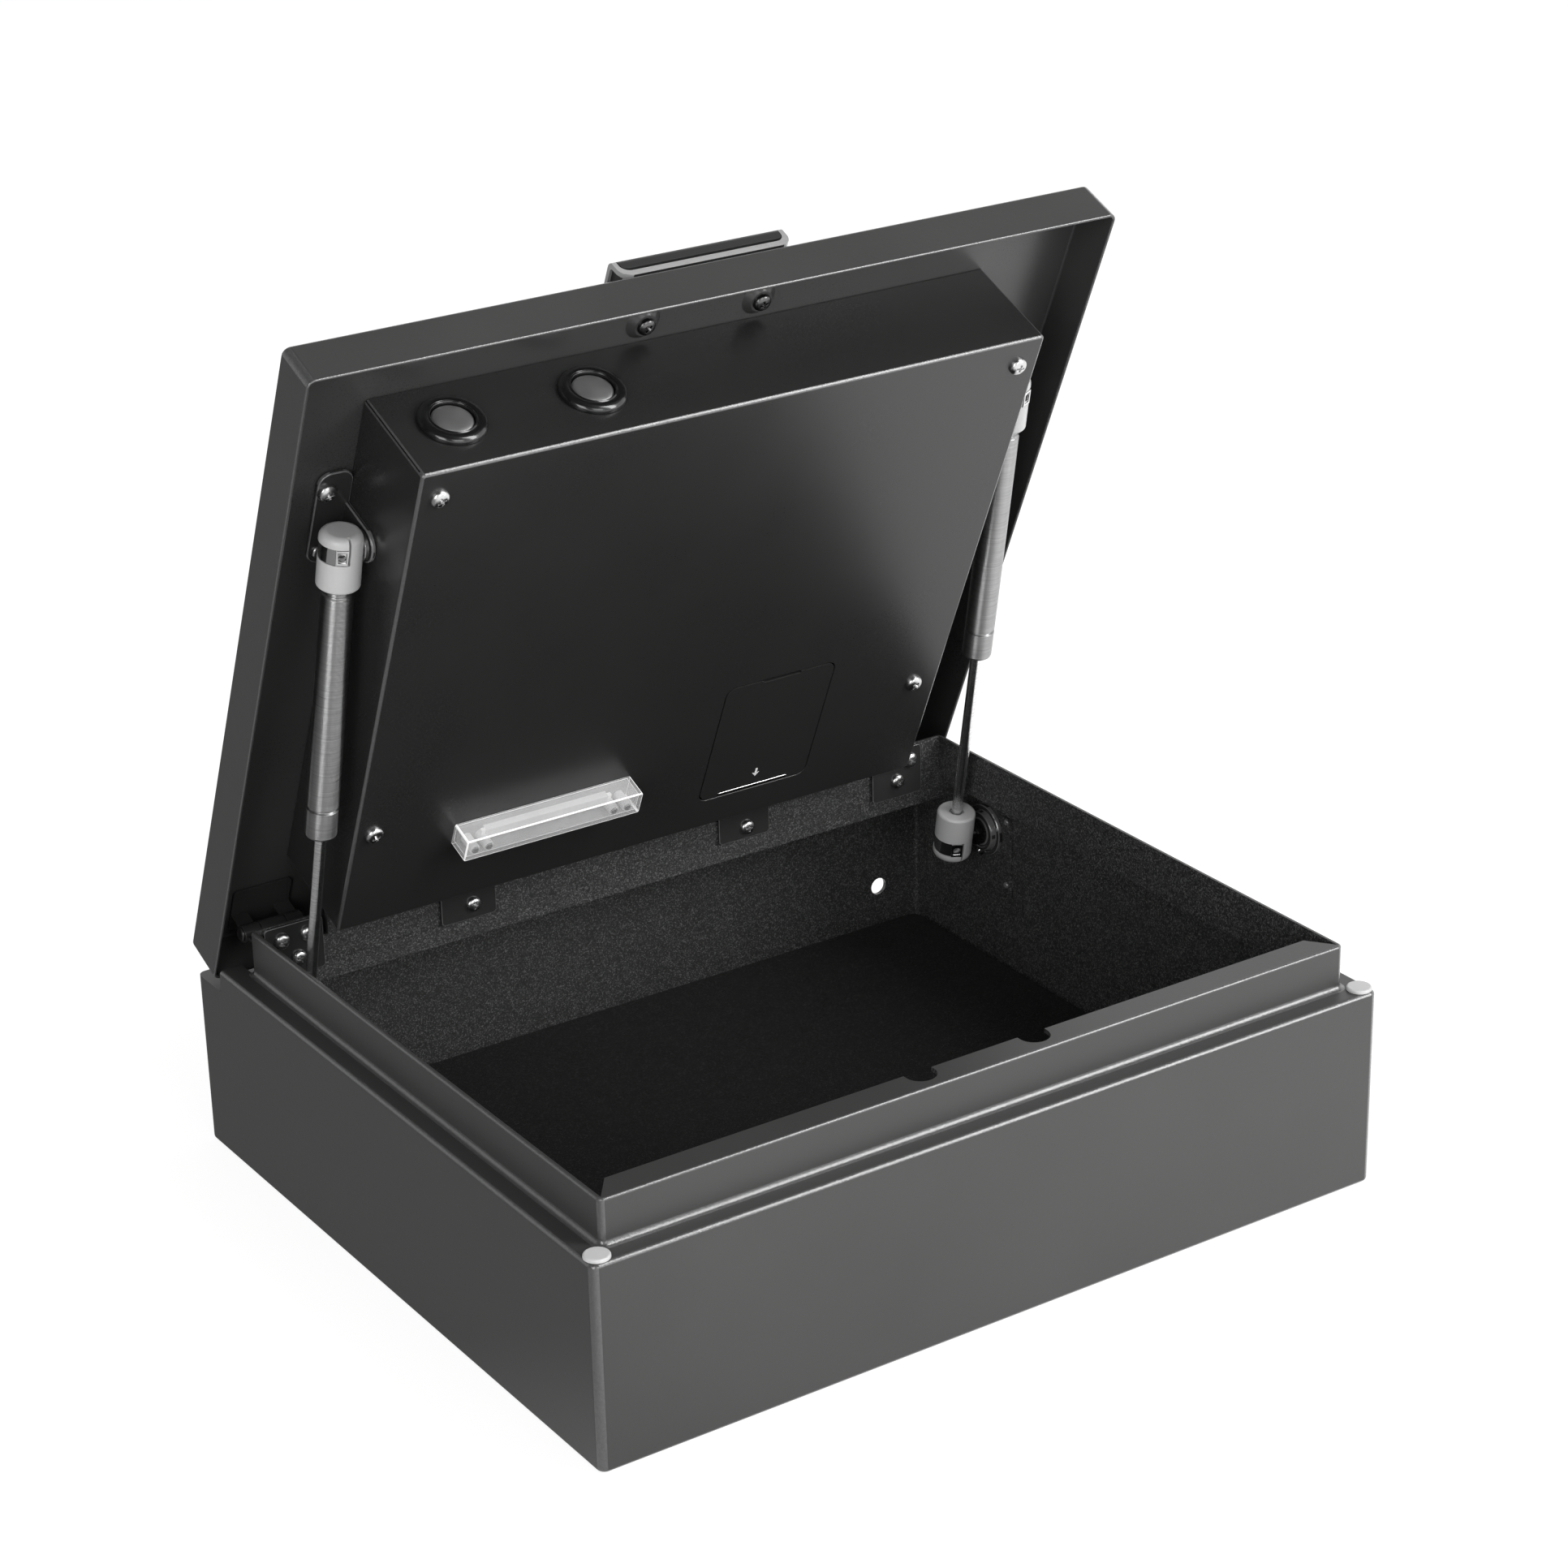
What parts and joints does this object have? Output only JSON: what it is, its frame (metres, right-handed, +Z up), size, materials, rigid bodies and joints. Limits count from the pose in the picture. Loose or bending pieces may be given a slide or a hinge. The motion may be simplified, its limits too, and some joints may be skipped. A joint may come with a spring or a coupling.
{
  "type": "portable car safe",
  "caption": "Flat sheet-steel safe box: a raised collar, a lid on two gas struts with a motor bolt lock, an inside light and a touch panel.",
  "frame": {"origin": "middle of the flat underside of the box", "axes": "+X to the right seen from the front, +Y to the back where the lid is hinged, +Z up"},
  "size_m": [0.4, 0.3467, 0.4134],
  "materials": {
    "box_coat": "fine-textured charcoal powder coat, semi-matte",
    "black_coat": "black satin coat on folded steel",
    "felt": "short black needle felt",
    "clear_bumper": "translucent pale silicone, satin",
    "zinc": "zinc-plated steel",
    "spring_steel": "bright rolled spring steel",
    "chrome": "ground and polished",
    "brushed_tube": "brushed around its axis",
    "satin_silver": "satin silver",
    "grey_plastic": "moulded grey nylon, satin",
    "black_plastic": "glossy black moulding",
    "gloss_black": "black touch panel, satin gloss",
    "frosted": "frosted translucent lens",
    "board": "green solder mask",
    "brass": "machined brass",
    "cell_wrap": "plain shrink sleeve with no print"
  },
  "bodies": {
    "base": {"base_shell": "box_coat", "collar_frame": "box_coat", "floor_mat": "felt", "bumper_left": "clear_bumper", "bumper_right": "clear_bumper", "bolt_keeper": "black_coat", "hinge_base_leaf_1": "black_coat", "hinge_base_leaf_2": "black_coat", "hinge_base_leaf_3": "black_coat", "hinge_base_leaf_4": "black_coat", "hinge_pin_1": "zinc", "hinge_pin_2": "zinc", "hinge_pin_3": "zinc", "hinge_pin_4": "zinc", "strut_wall_mount_left": "black_coat", "strut_wall_mount_right": "black_coat"},
    "lid": {"lid_shell": "box_coat", "housing_cover": "black_coat", "hinge_lid_leaf_1": "black_coat", "hinge_lid_leaf_2": "black_coat", "hinge_lid_leaf_3": "black_coat", "hinge_lid_leaf_4": "black_coat", "battery_box": "black_plastic", "battery_1": "cell_wrap", "battery_2": "cell_wrap", "battery_3": "cell_wrap", "battery_4": "cell_wrap", "light_lens": "frosted", "light_board": "board", "bolt_ring_left": "black_plastic", "bolt_ring_right": "black_plastic", "lock_chassis": "zinc", "lock_motor": "zinc", "circuit_board": "board", "panel_bezel": "satin_silver", "panel_insert": "gloss_black", "panel_screw_left": "zinc", "panel_screw_right": "zinc", "strut_lid_bracket_left": "black_coat", "strut_lid_bracket_right": "black_coat"},
    "bolts": {"bolt_carriage": "zinc", "lock_bolt_left": "chrome", "lock_bolt_right": "chrome"},
    "pinion": {"lock_pinion": "brass"},
    "door": {"battery_door": "black_coat"},
    "left_rod": {"strut_rod_left": "chrome", "strut_socket_low_left": "grey_plastic", "strut_clip_low_left": "spring_steel"},
    "left_tube": {"strut_tube_left": "brushed_tube", "strut_socket_high_left": "grey_plastic", "strut_clip_high_left": "spring_steel", "strut_stud_left": "spring_steel"},
    "right_rod": {"strut_rod_right": "chrome", "strut_socket_low_right": "grey_plastic", "strut_clip_low_right": "spring_steel"},
    "right_tube": {"strut_tube_right": "brushed_tube", "strut_socket_high_right": "grey_plastic", "strut_clip_high_right": "spring_steel", "strut_stud_right": "spring_steel"}
  },
  "joints": [
    {"name": "lid_hinge", "type": "hinge", "parent": "base", "child": "lid", "pos_m": [0, 0.1556, 0.1041], "axis": [1, 0, 0], "range_deg": [0, 66.2], "stiffness_Nm_per_rad": 15, "springref_deg": -16.04},
    {"name": "bolt_slide", "type": "slide", "parent": "lid", "child": "bolts", "axis": [0, -0.4035, 0.915], "range_m": [0, 0.018]},
    {"name": "pinion_turn", "type": "hinge", "parent": "lid", "child": "pinion", "pos_m": [-0.0839, 0.05718, 0.30198], "axis": [0, 0.915, 0.4035], "range_deg": [0, 117.9]},
    {"name": "door_hinge", "type": "hinge", "parent": "lid", "child": "door", "pos_m": [0.0564, 0.07475, 0.19697], "axis": [1, 0, 0], "range_deg": [-45, 0]},
    {"name": "strut_swing_left", "type": "hinge", "parent": "base", "child": "left_rod", "pos_m": [-0.1775, 0.1099, 0.0706], "axis": [1, 0, 0], "range_deg": [0, 69.24]},
    {"name": "strut_slide_left", "type": "slide", "parent": "left_rod", "child": "left_tube", "axis": [-0.0269, 0.2147, -0.9763], "range_m": [0, 0.06085]},
    {"name": "strut_swing_right", "type": "hinge", "parent": "base", "child": "right_rod", "pos_m": [0.1775, 0.1099, 0.0706], "axis": [1, 0, 0], "range_deg": [0, 69.24]},
    {"name": "strut_slide_right", "type": "slide", "parent": "right_rod", "child": "right_tube", "axis": [0.0269, 0.2147, -0.9763], "range_m": [0, 0.06085]}
  ],
  "couplings": [
    {"joint": "strut_swing_left", "follows": "lid_hinge", "ratio": 1.0459},
    {"joint": "strut_slide_left", "follows": "lid_hinge", "m_per_rad": 0.052656},
    {"joint": "strut_swing_right", "follows": "lid_hinge", "ratio": 1.0459},
    {"joint": "strut_slide_right", "follows": "lid_hinge", "m_per_rad": 0.052656},
    {"joint": "pinion_turn", "follows": "bolt_slide", "rad_per_m": 114.29}
  ]
}
